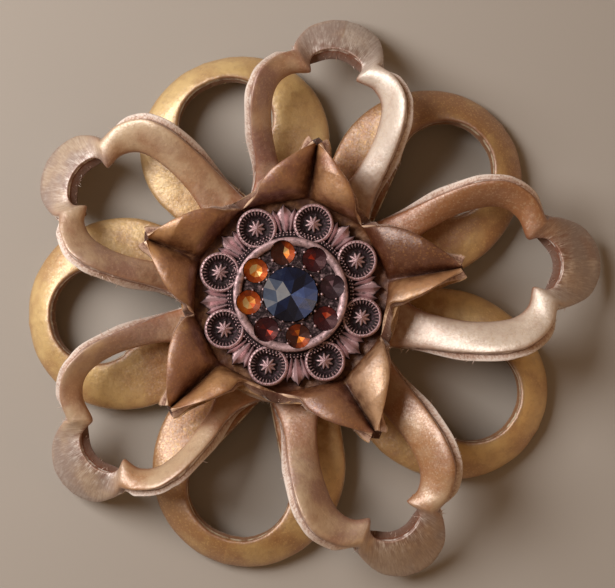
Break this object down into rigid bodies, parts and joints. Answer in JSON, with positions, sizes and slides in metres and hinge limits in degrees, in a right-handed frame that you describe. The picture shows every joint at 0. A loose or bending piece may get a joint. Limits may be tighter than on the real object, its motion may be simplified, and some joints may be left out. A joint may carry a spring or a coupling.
{
  "type": "layered leather flower concho",
  "caption": "Hand-cut leather flower in three curled layers with a cast berry concho and faceted stones in its centre, held by a slotted screw back.",
  "frame": {"origin": "centre of the flower's footprint, on the surface that it lies on", "axes": "+Z out of the flower's face, +X to the right and +Y to the top of the flower as seen from the front"},
  "size_m": [0.0992, 0.0964, 0.0168],
  "materials": {
    "pale_gold_leather": "vegetable-tanned leather with pale gold pearl paint, edges rubbed",
    "champagne_leather": "vegetable-tanned leather with champagne pearl paint, raw cut edges",
    "bronze_leather": "vegetable-tanned leather with bronze pearl paint over brown, worn pale rims",
    "antique_copper": "cast metal with antique copper plating, dark in the recesses",
    "dark_blue_glass": "faceted dark blue glass with a foil back",
    "amber_glass": "faceted amber-brown glass with a foil back",
    "screw_steel": "turned steel, slotted head"
  },
  "bodies": {
    "root": {"back_petals": "pale_gold_leather", "middle_petals": "champagne_leather", "inner_petals": "bronze_leather", "metal_concho": "antique_copper", "centre_stone": "dark_blue_glass", "small_stone_1": "amber_glass", "small_stone_2": "amber_glass", "small_stone_3": "amber_glass", "small_stone_4": "amber_glass", "small_stone_5": "amber_glass", "small_stone_6": "amber_glass", "small_stone_7": "amber_glass", "small_stone_8": "amber_glass", "back_screw": "screw_steel"}
  },
  "joints": []
}
